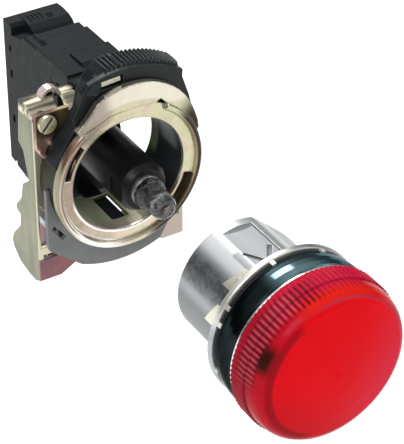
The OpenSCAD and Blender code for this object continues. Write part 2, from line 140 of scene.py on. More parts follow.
def ramp(tree, value, stops):
    """A colour ramp with its stops given as (place, colour)."""
    made = add(tree, "ValToRGB")
    bar = made.color_ramp.elements
    while len(bar) < len(stops):
        bar.new(0.5)
    for element, (at, colour) in zip(bar, stops):
        element.position = at
        element.color = (*colour, 1.0)
    join(tree, value, made.inputs[0])
    return made.outputs[0]


print("helpers ready")

# %% [markdown]
# ## Node groups
# An effect that several finishes share is a node group with named sockets. It is built once,
# and each material places it with values of its own.

# %% Make and place a node group
def group(name, inputs, outputs):
    """An empty node group with its sockets; gives back its inlet's outputs and its outlet's inputs."""
    tree = bpy.data.node_groups.new(name, "ShaderNodeTree")
    for label, kind, value in inputs:
        socket = tree.interface.new_socket(label, in_out="INPUT", socket_type="NodeSocket" + kind)
        if value is not None:
            socket.default_value = value
    for label, kind in outputs:
        tree.interface.new_socket(label, in_out="OUTPUT", socket_type="NodeSocket" + kind)
    print("group:", name)
    return (tree, tree.nodes.new("NodeGroupInput").outputs,
            tree.nodes.new("NodeGroupOutput").inputs)


def place(tree, source, **values):
    """A node group put into a material, with its values."""
    made = tree.nodes.new("ShaderNodeGroup")
    made.node_tree = source
    return fill(tree, made, values)


def contrast(tree, value, amount):
    """The value drawn away from a half by the amount, and kept between 0 and 1."""
    drawn = sums(tree, "MULTIPLY", sums(tree, "SUBTRACT", value, 0.5), amount)
    return sums(tree, "ADD", drawn, 0.5, clamp=True)


# %% [markdown]
# ## Effects that several finishes share
# A real surface is never one even colour. Moulded plastic and cast metal have a fine grain, and
# a noise texture with its contrast raised gives it.

# %% Grain: a fine mottle for moulded and cast surfaces
grain, given, gives = group("fine_grain",
    [("Vector", "Vector", None), ("Scale", "Float", 900.0), ("Contrast", "Float", 0.5)],
    [("Mask", "Float")])
noise = add(grain, "TexNoise", Vector=given["Vector"], Scale=given["Scale"],
            Detail=4.0, Roughness=0.6)
join(grain, contrast(grain, noise.outputs["Fac"], given["Contrast"]), gives["Mask"])

# %% [markdown]
# Handling rubs the edges of metal bright. A Bevel node gives the normal that a rounded edge
# would have. Where it differs from the true normal there is an edge, and noise breaks up the
# line. The rounded normal is given out too, so that every sharp edge catches a little light.

# %% Edge wear: a mask that is bright along sharp edges
wear, given, gives = group("edge_wear",
    [("Vector", "Vector", None), ("Width", "Float", 0.3 * MM), ("Strength", "Float", 1.0)],
    [("Mask", "Float"), ("Normal", "Vector")])
rounded = add(wear, "Bevel", samples=6, Radius=given["Width"]).outputs["Normal"]
true_normal = add(wear, "NewGeometry").outputs["Normal"]
agree = vectors(wear, "DOT_PRODUCT", rounded, true_normal)["Value"]
edge = sums(wear, "SUBTRACT", 1.0, agree, clamp=True)
noise = add(wear, "TexNoise", Vector=given["Vector"], Scale=700.0)
broken = sums(wear, "MULTIPLY", edge, sums(wear, "ADD", noise.outputs["Fac"], 0.35))
join(wear, sums(wear, "MULTIPLY", broken, given["Strength"], clamp=True), gives["Mask"])
join(wear, rounded, gives["Normal"])

# %% [markdown]
# Passivated zinc wears a film so thin that light colours it. The colour follows the film's
# thickness, from olive through straw to pink, so a slow noise with a little fast noise in it
# runs through a colour ramp.

# %% Thin film: the drifting colours of passivated zinc
FILM = [(0.30, (0.33, 0.38, 0.22)), (0.42, (0.48, 0.51, 0.31)), (0.50, (0.64, 0.58, 0.38)),
        (0.57, (0.68, 0.48, 0.38)), (0.64, (0.54, 0.34, 0.33)), (0.74, (0.74, 0.68, 0.52))]
SLOW_SHARE, FAST_SHARE, FAST_TIMES = 0.8, 0.2, 6.0
film, given, gives = group("passivation_film",
    [("Vector", "Vector", None), ("Scale", "Float", 120.0), ("Shift", "Float", 0.0)],
    [("Color", "Color"), ("Mask", "Float")])
slow = add(film, "TexNoise", Vector=given["Vector"], Scale=given["Scale"],
           Detail=3.0, Distortion=0.8)
fast = add(film, "TexNoise", Vector=given["Vector"], Detail=5.0,
           Scale=sums(film, "MULTIPLY", given["Scale"], FAST_TIMES))
drift = sums(film, "ADD", sums(film, "MULTIPLY", slow.outputs["Fac"], SLOW_SHARE),
             sums(film, "MULTIPLY", fast.outputs["Fac"], FAST_SHARE))
drift = sums(film, "ADD", drift, given["Shift"], clamp=True)
join(film, ramp(film, drift, FILM), gives["Color"])
join(film, drift, gives["Mask"])

# %% [markdown]
# Pressing and casting leave soft streaks. They are noise too, with the coordinates stretched so
# that it changes fast across the streaks and slowly along them.

# %% Streaks: noise drawn out along one direction
streak, given, gives = group("drawn_streaks",
    [("Vector", "Vector", None), ("Stretch", "Vector", (900.0, 30.0, 900.0)),
     ("Contrast", "Float", 1.0)],
    [("Mask", "Float")])
stretched = vectors(streak, "MULTIPLY", given["Vector"], given["Stretch"])["Vector"]
noise = add(streak, "TexNoise", Vector=stretched, Scale=1.0, Detail=3.0)
join(streak, contrast(streak, noise.outputs["Fac"], given["Contrast"]), gives["Mask"])

# %% [markdown]
# ## Where a colour goes
# A real piece isn't the same colour all over: a corner is rubbed, a fold is darker, a lip
# catches the light. A mask says where, from the place on the piece: x, y and z in mm, or the
# distance from the y axis and the angle about it. Angles are in degrees from +x up to +z, and
# they jump from 180 to -180 at the left, so a span across the left has a helper of its own.

# %% Places on a piece
def along(tree, spot):
    """The x, y and z of the object coordinates in mm, as sockets."""
    scaled = add(tree, "VectorMath", operation="SCALE", Vector=spot, Scale=1.0 / MM)
    return add(tree, "SeparateXYZ", Vector=scaled.outputs["Vector"]).outputs


def reach(tree, across, up):
    """How far away a point is that lies so far across and so far up."""
    return sums(tree, "SQRT", sums(tree, "ADD", sums(tree, "MULTIPLY", across, across),
                                   sums(tree, "MULTIPLY", up, up)))


def turned(tree, spot):
    """The distance from the y axis in mm, and the angle about it in degrees."""
    x, _, z = along(tree, spot)
    return reach(tree, x, z), sums(tree, "MULTIPLY", sums(tree, "ARCTAN2", z, x),
                                   math.degrees(1.0))


# %% [markdown]
# A smooth step turns a place into a mask. Two steps back to back make a band, and masks are
# multiplied where all of them must hold.

# %% Masks from places
def above(tree, value, low, high):
    """0 below low and 1 above high, with a smooth step between them."""
    return add(tree, "MapRange", interpolation_type="SMOOTHSTEP", Value=value,
               From_Min=low, From_Max=high).outputs["Result"]


def other(tree, mask):
    """The mask the other way round."""
    return sums(tree, "SUBTRACT", 1.0, mask)


def below(tree, value, low, high):
    """1 below low and 0 above high, with a smooth step between them."""
    return other(tree, above(tree, value, low, high))


def both(tree, mask, *others):
    """Bright where every mask is bright."""
    for further in others:
        mask = sums(tree, "MULTIPLY", mask, further)
    return mask


def either(tree, first, second):
    """Bright where one mask or the other is bright."""
    return sums(tree, "ADD", first, second)


def band(tree, value, low, high, soft):
    """1 between low and high, falling smoothly to 0 over the soft width outside."""
    return both(tree, above(tree, value, low - soft, low), below(tree, value, high, high + soft))


def across_left(tree, angle, first, last, soft_first, soft_last):
    """A band of angles that runs up to 180 degrees and on from -180."""
    return either(tree, above(tree, angle, first - soft_first, first),
                  below(tree, angle, last, last + soft_last))


# %% [markdown]
# The colours of a finish are then laid over one another like coats of paint, each through its
# own mask and as strongly as it needs.

# %% Coats of colour
def coat(tree, base, coats):
    """Coats laid over the base in turn; each is a name, a mask, a colour and a strength."""
    for _, mask, colour, strength in coats:
        base = mix_colour(tree, sums(tree, "MULTIPLY", mask, strength, clamp=True), base, colour)
    print("  coats:", ", ".join(name for name, *_ in coats))
    return base


# %% [markdown]
# ## A starting point for every finish
# Every finish starts from the same parts: object coordinates, the rounded edges and one
# Principled shader. What is the same all over the surface is set on the shader's own socket.
# Most finishes also end alike: worn edges over the colour, an uneven roughness, a fine bump.

# %% Start and end of a finish
def finish(name, edge=0.2, wear_strength=1.0, **sockets):
    """A new material; gives back it, its tree, coordinates, edge group and shader."""
    made = bpy.data.materials.new(name)
    made.use_nodes = True
    tree = made.node_tree
    shader = fill(tree, tree.nodes["Principled BSDF"], sockets)
    spot = add(tree, "TexCoord").outputs["Object"]
    edges = place(tree, wear, Vector=spot, Width=edge * MM, Strength=wear_strength)
    return made, tree, spot, edges, shader


def bump(tree, edges, height, shader, strength, depth=0.1):
    """A bump up to so many mm deep, on top of the rounded edges."""
    made = add(tree, "Bump", Strength=strength, Distance=depth * MM, Height=height,
               Normal=edges.outputs["Normal"])
    join(tree, made.outputs["Normal"], shader.inputs["Normal"])


def surface(tree, edges, shader, colour, worn, fine, least, more, strength, rubbed=1.0):
    """The end of most finishes. The roughness runs from least up to least + more."""
    mask = sums(tree, "MULTIPLY", edges.outputs["Mask"], rubbed)
    join(tree, mix_colour(tree, mask, colour, worn), shader.inputs["Base Color"])
    join(tree, sums(tree, "MULTIPLY_ADD", fine, more, least), shader.inputs["Roughness"])
    bump(tree, edges, fine, shader, strength)


def wear_to(material, *names):
    """The material on CAD nodes."""
    for name in names:
        mesh = NODES[name].data
        mesh.materials.clear()
        mesh.materials.append(material)
    print(material.name, "on", ", ".join(names))


# %% [markdown]
# ## The collar ring
# The ring is pressed from steel sheet, zinc plated and passivated. A broad film gives the drift
# of colour over the whole ring, and two finer ones break it up. The right and the top turn
# olive, and the underside turns straw and pink.

# %% The ring: film and streaks
steel, t, spot, edges, shader = finish("passivated_ring", 0.45, Metallic=0.9, IOR=1.6)
radius, angle = turned(t, spot)
_, y, z = along(t, spot)
broad = place(t, film, Vector=spot, Scale=60.0, Shift=0.02).outputs
patches = place(t, film, Vector=spot, Scale=210.0, Shift=0.02).outputs
flecks = place(t, film, Vector=spot, Scale=640.0, Shift=0.0).outputs
fine = place(t, streak, Vector=spot, Stretch=(900.0, 900.0, 260.0), Contrast=1.2).outputs["Mask"]
PATCH_SHARE, FLECK_SHARE = 0.36, 0.22
tinted = mix_colour(t, sums(t, "MULTIPLY", fine, 0.35), broad["Color"], (0.74, 0.71, 0.60))
tinted = coat(t, tinted, (
    ("olive", band(t, angle, -20.0, 88.0, 25.0), (0.52, 0.57, 0.38), 0.6),
    ("straw and pink", band(t, angle, -140.0, -60.0, 20.0),
     mix_colour(t, broad["Mask"], (0.86, 0.84, 0.62), (0.80, 0.66, 0.62)), 0.6)))
tinted = mix_colour(t, PATCH_SHARE, tinted, patches["Color"])
tinted = mix_colour(t, FLECK_SHARE, tinted, flecks["Color"])

# %% [markdown]
# The ring's face is a flat washer inside a rolled lip. Painted shade makes the lip nearly black
# where it turns away at the right; it is rosy at the upper left, and painted highlights make it
# bright at the lower left and pale on its top. A painted highlight line and a painted shade line
# follow the step between face and lip.

# %% The ring: its lip and corners
left = across_left(t, angle, 152.0, -150.0, 12.0, 14.0)
tinted = coat(t, tinted, (
    ("brown in the recess", both(t, below(t, radius, 12.8, 13.4),
                                 across_left(t, angle, 165.0, -150.0, 14.0, 22.0)),
     (0.20, 0.14, 0.11), 0.75),
    # painted highlight: the pale top of the lip
    ("painted highlight on the cap", both(t, above(t, z, 11.8, 13.0), above(t, radius, 14.8, 15.3)),
     (0.76, 0.72, 0.62), 0.75),
    ("brown corner", both(t, band(t, angle, 108.0, 152.0, 8.0), above(t, radius, 12.0, 12.8)),
     mix_colour(t, broad["Mask"], (0.16, 0.11, 0.09), (0.58, 0.50, 0.42)), 0.75),
    ("rosy lip", both(t, band(t, radius, 13.3, 16.0, 0.5), band(t, angle, 138.0, 160.0, 8.0)),
     (0.46, 0.26, 0.19), 0.7),
    ("shaded step", both(t, above(t, radius, 13.0, 13.5), band(t, angle, -62.0, 30.0, 18.0)),
     (0.26, 0.19, 0.09), 0.85),
    # painted shade: the nearly black rim where the lip turns away at the right
    ("painted shade on the rim", both(t, above(t, radius, 13.5, 13.9), band(t, angle, -66.0, 34.0, 18.0)),
     (0.022, 0.017, 0.013), 0.95),
    # painted highlight: the bright lip at the lower left
    ("painted highlight on the lip", both(t, band(t, radius, 13.3, 14.6, 0.4), band(t, angle, -146.0, -112.0, 22.0)),
     (0.95, 0.94, 0.89), 0.8),
    # painted highlight and painted shade: the pale and the dark line along the step
    ("painted highlight line", both(t, left, band(t, radius, 13.35, 13.55, 0.15)), (0.88, 0.87, 0.83), 0.8),
    ("painted shade line", both(t, left, band(t, radius, 13.75, 13.95, 0.15)), (0.10, 0.10, 0.09), 0.8)))

# %% [markdown]
# The face itself is mottled olive and rose at the lower left. Painted highlights give its hole a
# bright rim and make the end of the left window a short white line.

# %% The ring: its face, and painted highlights round the hole and at the window's end
mottle = place(t, grain, Vector=spot, Scale=900.0, Contrast=3.0).outputs["Mask"]
ahead = below(t, y, 1.1, 1.5)
lower_left = either(t, left, band(t, angle, -150.0, -112.0, 14.0))
tinted = coat(t, tinted, (
    ("mottled face", both(t, ahead, below(t, radius, 13.0, 13.2), lower_left),
     mix_colour(t, mottle, (0.27, 0.31, 0.17), (0.50, 0.34, 0.31)), 0.62),
    # painted highlights: the bright rim of the hole and the white line at the window's end
    ("painted highlight on the hole's rim", both(t, ahead, band(t, radius, 11.0, 11.6, 0.2),
                             band(t, angle, -158.0, -55.0, 14.0)), (0.96, 0.90, 0.87), 0.9),
    ("painted highlight at the window's end", both(t, ahead, band(t, angle, 167.2, 168.6, 0.4),
                               band(t, radius, 11.9, 13.3, 0.2)), (0.98, 0.94, 0.92), 1.0),
    ("outer edge", both(t, above(t, radius, 14.1, 14.5),
                        across_left(t, angle, 158.0, -148.0, 10.0, 16.0)),
     (0.27, 0.265, 0.17), 0.9)))

# %% [markdown]
# Behind the face the sheet is drawn into a tube and a drum. They are duller and greener, with
# painted shade darkening them deeper in, and a painted shadow makes the drum nearly black at the
# left, where it lies in the shadow of the lever. The depths of the two windows are a dark red
# brown.

# %% The ring: tube, drum and windows, and the end of the finish
deep = above(t, y, 3.0, 4.5)
windows = either(t, band(t, angle, -42.0, -4.0, 4.0), band(t, angle, 142.0, 176.0, 4.0))
tinted = coat(t, tinted, (
    # painted shade deeper in, and a painted lever shadow on the drum
    ("duller, with painted shade in the depth", deep, (0.30, 0.32, 0.21), 0.8),
    ("green tube", both(t, deep, below(t, radius, 11.5, 11.6)),
     mix_colour(t, patches["Mask"], (0.46, 0.58, 0.36), (0.86, 0.84, 0.60)), 0.9),
    ("painted lever shadow on the drum", both(t, above(t, radius, 13.7, 13.9), above(t, y, 1.8, 2.4), left),
     (0.022, 0.021, 0.017), 0.95),
    ("windows", both(t, deep, band(t, radius, 11.9, 13.4, 0.3), windows),
     (0.17, 0.060, 0.040), 0.9)))
dull = sums(t, "MULTIPLY_ADD", above(t, y, 1.2, 2.2), 0.26, 0.16)
surface(t, edges, shader, tinted, (0.95, 0.92, 0.84), fine, least=dull, more=0.16,
        strength=0.12)
wear_to(steel, "collar_ring")

# %% [markdown]
# ## The bracket
# The bracket is folded from the same steel, but the film came out darker and streaks run down
# it. Its front face is straw, its top slope carries painted reflections in ribbons of light and
# dark, and the foot is purple brown at the left and sandy at the right.

# %% The bracket
BRACKET_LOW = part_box("bracket")[0]
front_y = BRACKET_LOW[1] / MM
bracket_steel, t, spot, edges, shader = finish("passivated_bracket", 0.3, Metallic=0.8, IOR=1.6)
x, y, z = along(t, spot)
broad = place(t, film, Vector=spot, Scale=45.0, Shift=-0.12).outputs["Color"]
fine = place(t, streak, Vector=spot, Stretch=(700.0, 700.0, 60.0), Contrast=1.4).outputs["Mask"]
reflected_ribbon = place(t, streak, Vector=spot, Stretch=(70.0, 620.0, 620.0), Contrast=4.6).outputs["Mask"]
patch = place(t, grain, Vector=spot, Scale=160.0, Contrast=2.4).outputs["Mask"]
front = below(t, y, front_y + 0.3, front_y + 0.5)
shaded = mix_colour(t, sums(t, "MULTIPLY_ADD", fine, 0.35, 0.52), broad, (0.13, 0.15, 0.105))
shaded = coat(t, shaded, (
    ("front face", front, (0.76, 0.72, 0.54), 0.8),
    # painted reflections: stripes of light and dark across the top slope
    ("painted reflection stripes on the slope", above(t, z, 11.6, 12.2),
     mix_colour(t, reflected_ribbon, (0.060, 0.056, 0.038), (0.86, 0.80, 0.60)), 1.0),
    ("near foot", both(t, below(t, z, -17.6, -17.0), front, below(t, x, 0.0, 2.0)),
     mix_colour(t, patch, (0.12, 0.09, 0.13), (0.30, 0.12, 0.11)), 1.0),
    ("shadow behind the plate", both(t, band(t, x, -12.6, -9.0, 0.6),
                                     band(t, z, -15.2, -11.0, 0.6), below(t, y, 9.0, 9.5)),
     (0.010, 0.010, 0.010), 0.95),
    ("far foot", both(t, below(t, z, -12.0, -9.0), front, above(t, x, 2.0, 7.0)),
     mix_colour(t, patch, (0.52, 0.40, 0.36), (0.50, 0.47, 0.37)), 1.0)))
surface(t, edges, shader, shaded, (0.78, 0.64, 0.58), fine, least=0.30, more=0.15,
        strength=0.15, rubbed=0.8)
wear_to(bracket_steel, "bracket")

# %% [markdown]
# ## The small metal pieces
# The plate behind the ring is grey, the bridge on the bracket's top is pink and the catch in
# the lever's window is cream. They differ only in their colours, so one function makes their
# finish, and it makes the zinc and the brass at the terminals too.

# %% Small metal pieces
def sheet_metal(name, colour, second, metallic, roughness, scale=200.0):
    """A sheet metal finish with a mottle of two colours and paler edges."""
    made, t, spot, edges, shader = finish(name, 0.15, Metallic=metallic, IOR=1.6)
    mottle = place(t, grain, Vector=spot, Scale=scale, Contrast=2.2).outputs["Mask"]
    fine = place(t, grain, Vector=spot, Scale=scale * 8, Contrast=1.2).outputs["Mask"]
    paler = tuple(min(1.0, part * 1.5 + 0.08) for part in colour)
    surface(t, edges, shader, mix_colour(t, mottle, colour, second), paler, fine,
            least=roughness - 0.06, more=0.12, strength=0.1)
    return made


wear_to(sheet_metal("grey_plate", (0.14, 0.15, 0.145), (0.19, 0.20, 0.195), 0.2, 0.5),
        "collar_plate")
wear_to(sheet_metal("pink_bridge", (0.80, 0.60, 0.56), (0.93, 0.80, 0.74), 0.5, 0.3, 400.0),
        "spring_tab")
wear_to(sheet_metal("cream_catch", (0.70, 0.68, 0.50), (0.85, 0.82, 0.68), 0.5, 0.35, 500.0),
        "lever_catch")
wear_to(sheet_metal("zinc_screws", (0.55, 0.55, 0.52), (0.70, 0.70, 0.66), 0.9, 0.3, 500.0),
        "terminal_screw_upper", "terminal_screw_lower", "terminal_clamps", "lamp_socket")
wear_to(sheet_metal("contact_brass", (0.55, 0.38, 0.14), (0.68, 0.52, 0.24), 0.9, 0.3, 500.0),
        "contact_blades")

# %% [markdown]
# ## The sprung tongue and its screw
# The tongue is dark bronze above and rosy at its rounded end, with a greenish side towards the
# ring. Round the screw it is nearly black, so that mask goes by the distance from the screw's
# axis.

# %% The sprung tongue
SCREW_LOW, SCREW_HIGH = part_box("clamp_screw")
SCREW_X, SCREW_Z = [(SCREW_LOW[i] + SCREW_HIGH[i]) / 2 / MM for i in (0, 2)]


def off_screw(tree, x, z):
    """The distance from the clamp screw's axis in mm."""
    return reach(tree, sums(tree, "SUBTRACT", x, SCREW_X), sums(tree, "SUBTRACT", z, SCREW_Z))


tongue, t, spot, edges, shader = finish("bronze_tongue", 0.3, 1.6, Metallic=0.8, IOR=1.6)
x, _, z = along(t, spot)
mottle = place(t, grain, Vector=spot, Scale=260.0, Contrast=2.2).outputs["Mask"]
fine = place(t, grain, Vector=spot, Scale=1500.0, Contrast=1.2).outputs["Mask"]
tone = coat(t, mix_colour(t, mottle, (0.14, 0.072, 0.050), (0.42, 0.27, 0.18)), (
    ("greenish side", above(t, x, -12.2, -9.5), (0.34, 0.31, 0.13), 0.65),
    ("rosy end", below(t, z, 6.2, 9.4), (0.78, 0.55, 0.44), 0.85),
    # darkens the tongue to nearly black round the screw
    ("nearly black round the screw", below(t, off_screw(t, x, z), 1.7, 3.4), (0.045, 0.020, 0.016), 0.85)))
surface(t, edges, shader, tone, (0.90, 0.70, 0.62), fine, least=0.28, more=0.12, strength=0.1)
wear_to(tongue, "clamp_tongue")

# %% [markdown]
# The clamp screw is plated yellow. Its slot is cut in the solid, and painted shade on the slot's
# floor gives the depth that so small a slot would otherwise lose.

# %% The clamp screw
head_y = SCREW_LOW[1] / MM
yellow, t, spot, edges, shader = finish("yellow_screw", Metallic=0.6, IOR=1.6)
x, y, z = along(t, spot)
mottle = place(t, grain, Vector=spot, Scale=420.0, Contrast=2.6).outputs["Mask"]
# painted shade on the slot's floor
slot_shade = both(t, above(t, y, head_y + 0.2, head_y + 0.4),
                  below(t, off_screw(t, x, z), 1.4, 1.6))
tone = coat(t, mix_colour(t, mottle, (0.52, 0.48, 0.20), (0.90, 0.89, 0.66)), (
    ("painted shade on the floor of the slot", slot_shade, (0.012, 0.010, 0.006), 1.0),))
surface(t, edges, shader, tone, (0.95, 0.95, 0.80), mottle, least=0.24, more=0.12,
        strength=0.12)
wear_to(yellow, "clamp_screw")

# %% [markdown]
# ## The inner legs of the bracket
# The foot of the bracket is folded from the sheet as a channel: the outer flange, the foot and
# an inner leg that stands up behind the window. One leg is drawn up from its foot line by
# extruding a thin plane, narrowed towards the top and rounded; the other is its mirror image.

# %% One inner leg
LEG_X, LEG_THICK, LEG_FOOT = 10.9 * MM, 0.8 * MM, -20.95 * MM
LEG_FRONT, LEG_REAR = BRACKET_LOW[1] + 0.95 * MM, BRACKET_LOW[1] + 9.0 * MM
LEG_STEPS = ((6.6, 0.86), (3.6, 0.72), (0.9, 0.80))    # how far up in mm, and how much narrower


def settle(name):
    """The active object, named and with its place moved into its mesh."""
    bpy.ops.object.transform_apply(location=True, rotation=True, scale=True)
    made = bpy.context.object
    made.name = name
    made.data.name = name
    return made


bpy.ops.object.select_all(action="DESELECT")
bpy.ops.mesh.primitive_plane_add(
    size=1.0, location=(-LEG_X + LEG_THICK / 2, (LEG_FRONT + LEG_REAR) / 2, LEG_FOOT))
bpy.ops.transform.resize(value=(LEG_THICK, LEG_REAR - LEG_FRONT, 1.0))
leg = settle("inner_leg_left")
bpy.ops.object.mode_set(mode="EDIT")
bpy.ops.mesh.select_all(action="SELECT")
for rise, narrower in LEG_STEPS:
    bpy.ops.mesh.extrude_region_move(TRANSFORM_OT_translate={"value": (0, 0, rise * MM)})
    bpy.ops.transform.resize(value=(1.0, narrower, 1.0))
bpy.ops.mesh.select_all(action="SELECT")
bpy.ops.mesh.normals_make_consistent(inside=False)
bpy.ops.mesh.bevel(offset=0.14 * MM, segments=3)
bpy.ops.object.mode_set(mode="OBJECT")
bpy.ops.object.shade_smooth_by_angle(angle=math.radians(35))
print(leg.name, len(leg.data.polygons), "faces")

# %% [markdown]
# A mirrored mesh is turned inside out, so its normals are made consistent again. Both legs
# belong to the collar and ride on it.

# %% Its mirror image
bpy.ops.object.duplicate()
bpy.ops.transform.mirror(constraint_axis=(True, False, False), center_override=(0, 0, 0))
twin = settle("inner_leg_right")
bpy.ops.object.mode_set(mode="EDIT")
bpy.ops.mesh.select_all(action="SELECT")
bpy.ops.mesh.normals_make_consistent(inside=False)
bpy.ops.object.mode_set(mode="OBJECT")
bpy.ops.object.select_all(action="DESELECT")
for piece in (leg, twin):
    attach(piece, "collar")
print("two legs at x", round(-LEG_X / MM, 1), "and", round(LEG_X / MM, 1), "mm")

# %% [markdown]
# The legs are rosy below, with painted shadow darkening their upper part and a painted highlight
# making the fold between bright. Their inner faces, which look into the bracket, are olive.

# %% Finish of the inner legs
rosy_steel, t, spot, edges, shader = finish("rosy_steel", Metallic=0.6, IOR=1.6)
x, _, z = along(t, spot)
patch = place(t, grain, Vector=spot, Scale=220.0, Contrast=2.4).outputs["Mask"]
inner_face = below(t, sums(t, "ABSOLUTE", x), 10.45, 10.60)
tone = coat(t, mix_colour(t, patch, (0.30, 0.10, 0.09), (0.46, 0.24, 0.24)), (
    # painted highlight on the fold and painted shadow above it
    ("painted highlight on the fold", above(t, z, -15.2, -14.6), (0.78, 0.82, 0.88), 1.0),
    ("painted shadow above", above(t, z, -13.9, -13.2), (0.012, 0.012, 0.013), 1.0),
    ("olive inside", inner_face, (0.30, 0.33, 0.23), 0.9)))
surface(t, edges, shader, tone, (0.75, 0.68, 0.62), patch, least=0.34, more=0.15,
        strength=0.12)
for piece in (leg, twin):
    piece.data.materials.append(rosy_steel)
print(rosy_steel.name, "on", leg.name + ",", twin.name)

# %% [markdown]
# ## Moulded plastic
# The lever, the lamp carrier and the module are moulded in black plastic. The lever and the
# carrier are smooth and catch soft highlights; the module's case is a matte charcoal. One
# function makes them all, and the black seal and the white cup of the head as well.

# %% Black and charcoal plastic
def moulded(name, colour, worn, roughness, scale, strength, gloss=0.26, coats_for=None):
    """A moulded plastic with a fine grain, cloudy colour and slightly paler edges."""
    made, t, spot, edges, shader = finish(name, 0.3, 0.8, IOR=1.5, Specular_IOR_Level=gloss)
    fine = place(t, grain, Vector=spot, Scale=scale, Contrast=1.4).outputs["Mask"]
    cloud = place(t, grain, Vector=spot, Scale=90.0, Contrast=1.6).outputs["Mask"]
    base = mix_colour(t, cloud, colour, tuple(part * 1.35 for part in colour))
    if coats_for:
        base = coat(t, base, coats_for(t, spot))
    surface(t, edges, shader, base, worn, fine, least=roughness - 0.08, more=0.16,
            strength=strength)
    return made


def painted_bore_reflections(tree, spot):
    """Painted reflections of the bright ring in the lever's bore: a strip of green and a sheen of
    grey.
    """
    radius, angle = turned(tree, spot)
    depth = along(tree, spot)[1]
    bore = below(tree, radius, 11.7, 11.9)
    # painted reflections of the ring in the lever's bore
    return (("painted green reflection", both(tree, bore, above(tree, depth, 9.8, 10.6),
                                 band(tree, angle, -12.0, 60.0, 14.0)), (0.15, 0.19, 0.10), 0.9),
            ("painted grey sheen", both(tree, bore, band(tree, depth, 5.0, 7.8, 2.2),
                                band(tree, angle, 4.0, 24.0, 9.0)), (0.19, 0.25, 0.24), 0.9))


wear_to(moulded("lever_plastic", (0.009, 0.0115, 0.013), (0.248, 0.320, 0.308), 0.38, 1600.0,
                0.10, coats_for=painted_bore_reflections), "lock_lever")
wear_to(moulded("carrier_plastic", (0.005, 0.005, 0.0055), (0.030, 0.030, 0.031), 0.36, 1800.0,
                0.08, gloss=0.2), "lamp_carrier", "carrier_collar")
wear_to(moulded("module_plastic", (0.0072, 0.0095, 0.0110), (0.0337, 0.0381, 0.0409), 0.55,
                1100.0, 0.22, gloss=0.18), "module_housing", "terminal_cover", "cover_latch")

# %% [markdown]
# ## The lamp
# The lamp is a clear moulding round a copper lead frame with a chip in its cup. It is glass to
# the light: transmission with a tint, and fine waves from the moulding. The same waves mottle
# the tint from mid grey to nearly black as painted dark reflections. The dome is darker round
# the chip, and a painted highlight brightens its upper left edge.

# %% Clear lamp and lead frame
clear, t, spot, edges, shader = finish("clear_lamp", 0.2, 0.4, Roughness=0.06, IOR=1.5,
                                       Metallic=0.0, Transmission_Weight=1.0)
radius, angle = turned(t, spot)
dome = below(t, along(t, spot)[1], -11.2, -10.6)
waves = place(t, grain, Vector=spot, Scale=900.0, Contrast=5.5).outputs["Mask"]
# painted dark reflections mottle the glass tint
glass_tint_and_reflections = coat(t, mix_colour(t, waves, (0.012, 0.014, 0.016), (0.56, 0.57, 0.58)), (
    ("dark round the chip", both(t, dome, band(t, radius, 1.2, 2.3, 0.3)),
     (0.012, 0.013, 0.015), 0.75),
    # painted highlight on the upper left edge of the dome
    ("painted highlight on the dome's edge", both(t, dome, band(t, radius, 2.5, 3.0, 0.2),
                         band(t, angle, 70.0, 180.0, 20.0)), (0.90, 0.92, 0.92), 0.9),
    ("chip", both(t, dome, below(t, radius, 0.8, 1.1)), (0.85, 0.55, 0.46), 0.9)))
join(t, glass_tint_and_reflections, shader.inputs["Base Color"])
bump(t, edges, waves, shader, 0.6, depth=0.3)
wear_to(clear, "led_lamp")
wear_to(sheet_metal("lead_copper", (0.30, 0.15, 0.11), (0.80, 0.55, 0.44), 0.6, 0.35, 700.0),
        "led_frame")

# %% [markdown]
# ## The head
# The barrel and flange are die-cast zinc, satin with soft streaks along the axis. A painted
# highlight makes the top of the barrel bright, and painted shade makes its left side dark and a
# dark band grainy. The flats and the arrow recess each have their own tone.

# %% Die-cast zinc: streaks, and painted light and dark sides
FLAT_TILT = math.radians(48.0)
cast, t, spot, edges, shader = finish("die_cast_zinc", 0.3, Metallic=0.85, IOR=1.6)
radius, angle = turned(t, spot)
x, y, z = along(t, spot)
fine = place(t, streak, Vector=spot, Stretch=(420.0, 60.0, 420.0), Contrast=1.8).outputs["Mask"]
cloud = place(t, grain, Vector=spot, Scale=160.0, Contrast=2.0).outputs["Mask"]
speck = place(t, grain, Vector=spot, Scale=1100.0, Contrast=3.4).outputs["Mask"]
flange_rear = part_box("gasket_claws")[1][1] / MM + 1.3
behind = above(t, y, flange_rear, flange_rear + 0.2)
off_axis = sums(t, "ADD", sums(t, "MULTIPLY", x, math.cos(FLAT_TILT)),
                sums(t, "MULTIPLY", z, math.sin(FLAT_TILT)))
tone = mix_colour(t, fine, (0.30, 0.32, 0.33), (0.52, 0.54, 0.55))
tone = coat(t, tone, (
    ("clouds", cloud, (0.58, 0.60, 0.60), 0.3),
    # painted highlight on the top; painted shade in a dark band and on the left side
    ("painted highlight on top", both(t, behind, band(t, angle, 60.0, 122.0, 14.0)), (0.91, 0.93, 0.94), 0.9),
    ("painted dark band with grain", both(t, behind, band(t, angle, 138.0, 154.0, 12.0)),
     mix_colour(t, speck, (0.07, 0.08, 0.085), (0.26, 0.28, 0.29)), 0.75),
    ("painted shade on the left side", both(t, behind, across_left(t, angle, 176.0, -150.0, 16.0, 20.0)),
     (0.17, 0.185, 0.19), 0.8),
    ("flat", both(t, behind, above(t, off_axis, 9.66, 9.72)), (0.40, 0.42, 0.43), 0.5),
    ("arrow recess", both(t, behind, below(t, radius, 10.70, 10.84),
                          band(t, angle, 66.0, 116.0, 4.0)), (0.36, 0.38, 0.39), 0.75)))

# %% [markdown]
# A painted cream reflection lies on two raised pads on the left, which end on a slant, and on
# the lugs and the flange; painted shade darkens the arrow. The slanting edge of each pad is
# given by its place along y at one angle and its slope in mm for each degree, and then come the
# angles between which the pad lies.

